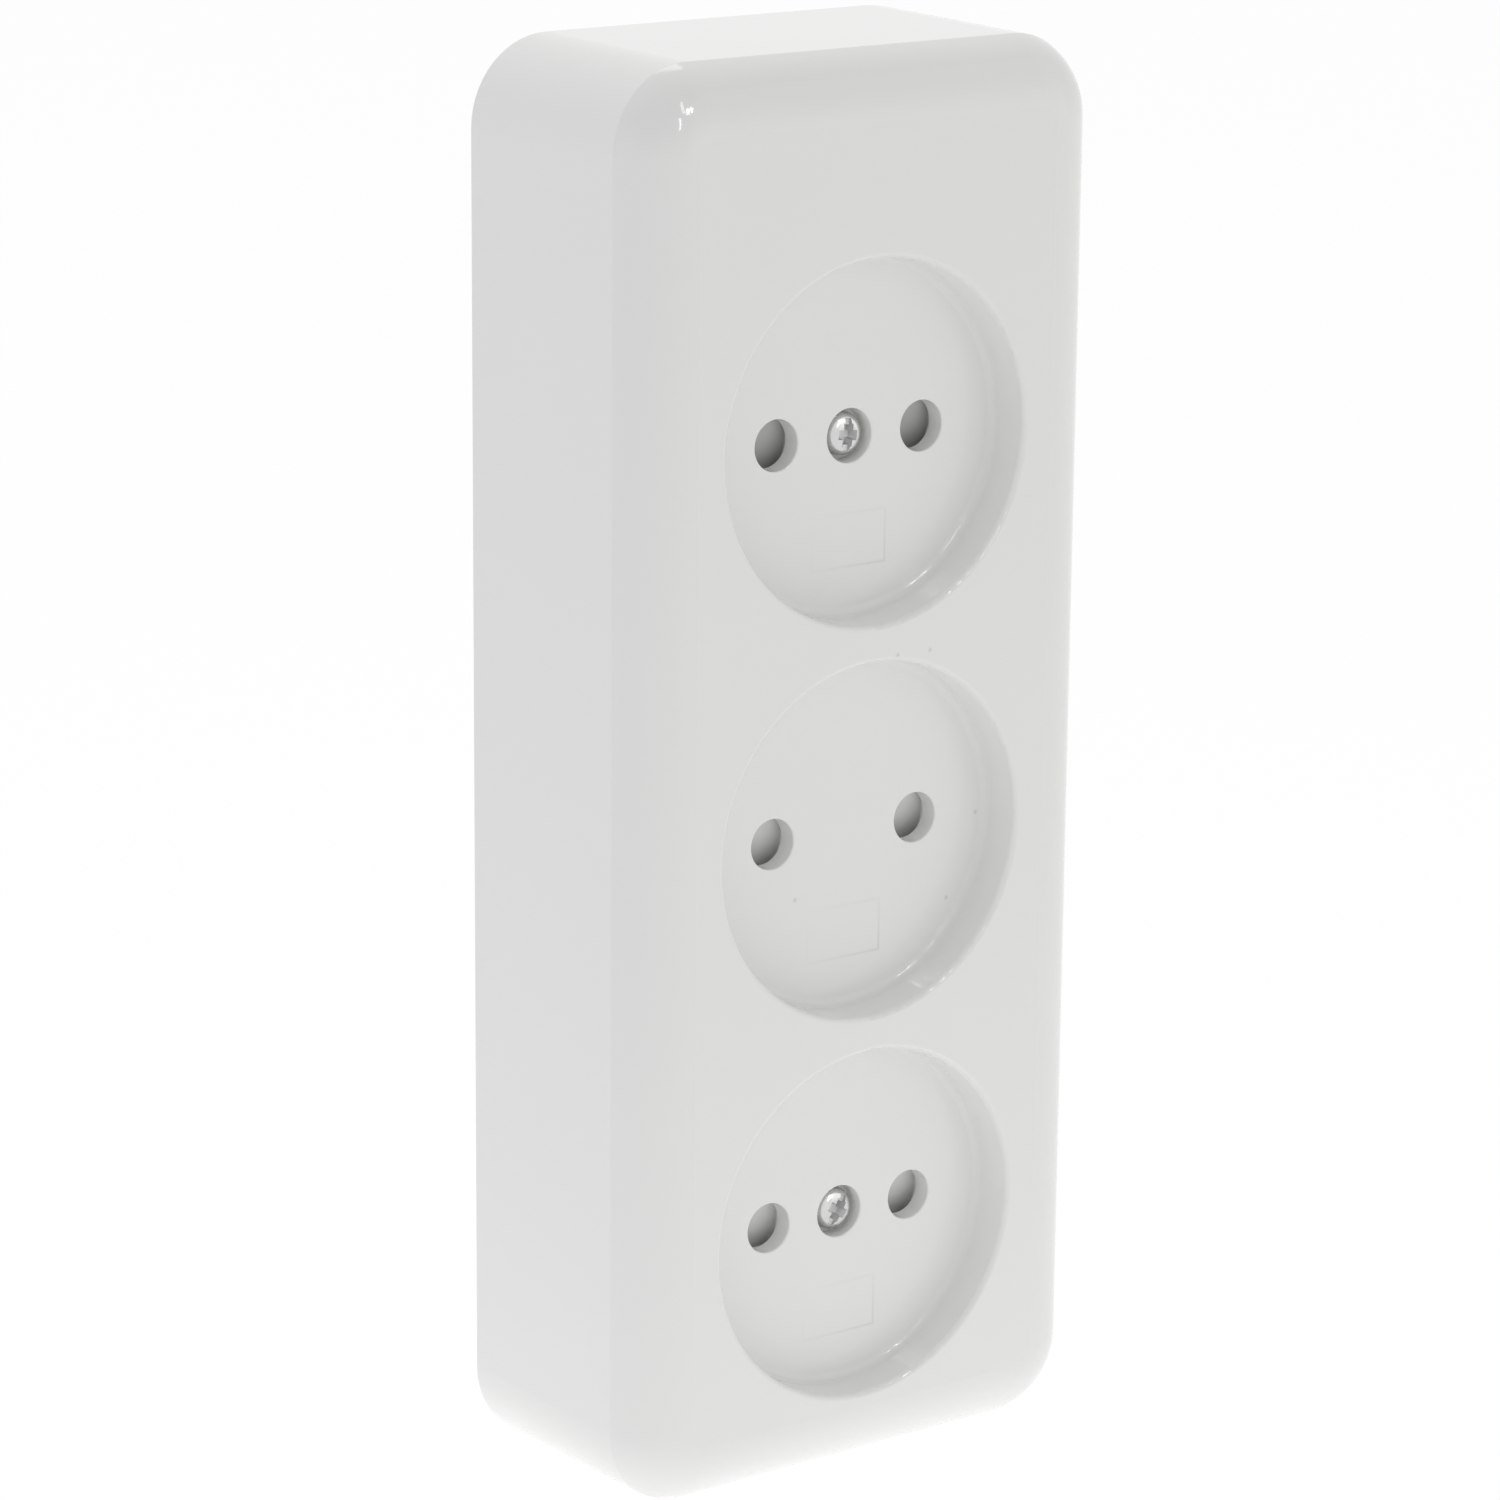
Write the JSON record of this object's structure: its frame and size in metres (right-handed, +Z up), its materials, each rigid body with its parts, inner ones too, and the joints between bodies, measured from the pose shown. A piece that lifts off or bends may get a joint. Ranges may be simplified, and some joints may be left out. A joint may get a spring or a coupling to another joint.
{
  "type": "triple surface socket",
  "caption": "Surface-mounted wall socket in a row of round two-pin wells, with a one-piece screwed cover, sprung shutters and a base with contact rails.",
  "frame": {"origin": "middle of the back, on the wall face", "axes": "+Z up the wall, +Y into the wall, so the wells face -Y; +X is to the right as seen from the room"},
  "size_m": [0.061, 0.03, 0.155],
  "materials": {
    "cover_plastic": "glossy slightly warm white moulding",
    "base_plastic": "matt white moulding",
    "shutter_plastic": "matt light grey moulding",
    "contact_brass": "stamped brass",
    "spring_steel": "bright spring steel",
    "zinc_screws": "bright zinc-plated steel"
  },
  "bodies": {
    "housing": {"cover": "cover_plastic", "base": "base_plastic", "shutter_spring_top": "spring_steel", "shutter_spring_middle": "spring_steel", "shutter_spring_bottom": "spring_steel", "live_rail": "contact_brass", "live_contact_top": "contact_brass", "live_grip_ring_top": "spring_steel", "live_contact_middle": "contact_brass", "live_grip_ring_middle": "spring_steel", "live_contact_bottom": "contact_brass", "live_grip_ring_bottom": "spring_steel", "live_rivets": "contact_brass", "live_rail_screws": "zinc_screws", "live_terminal_nut": "zinc_screws", "live_clamp_plate": "zinc_screws", "live_terminal_screw": "zinc_screws", "neutral_rail": "contact_brass", "neutral_contact_top": "contact_brass", "neutral_grip_ring_top": "spring_steel", "neutral_contact_middle": "contact_brass", "neutral_grip_ring_middle": "spring_steel", "neutral_contact_bottom": "contact_brass", "neutral_grip_ring_bottom": "spring_steel", "neutral_rivets": "contact_brass", "neutral_rail_screws": "zinc_screws", "neutral_terminal_nut": "zinc_screws", "neutral_clamp_plate": "zinc_screws", "neutral_terminal_screw": "zinc_screws", "cover_screw_top": "zinc_screws", "cover_nut_top": "zinc_screws", "cover_screw_bottom": "zinc_screws", "cover_nut_bottom": "zinc_screws"},
    "top_shutter": {"shutter_top": "shutter_plastic"},
    "middle_shutter": {"shutter_middle": "shutter_plastic"},
    "bottom_shutter": {"shutter_bottom": "shutter_plastic"}
  },
  "joints": [
    {"name": "top_shutter_slide", "type": "slide", "parent": "housing", "child": "top_shutter", "axis": [0, 0, 1], "range_m": [0, 0.0062], "stiffness_N_per_m": 120, "springref_m": -0.004, "deforming": ["shutter_spring_top"]},
    {"name": "middle_shutter_slide", "type": "slide", "parent": "housing", "child": "middle_shutter", "axis": [0, 0, 1], "range_m": [0, 0.0062], "stiffness_N_per_m": 120, "springref_m": -0.004, "deforming": ["shutter_spring_middle"]},
    {"name": "bottom_shutter_slide", "type": "slide", "parent": "housing", "child": "bottom_shutter", "axis": [0, 0, 1], "range_m": [0, 0.0062], "stiffness_N_per_m": 120, "springref_m": -0.004, "deforming": ["shutter_spring_bottom"]}
  ]
}
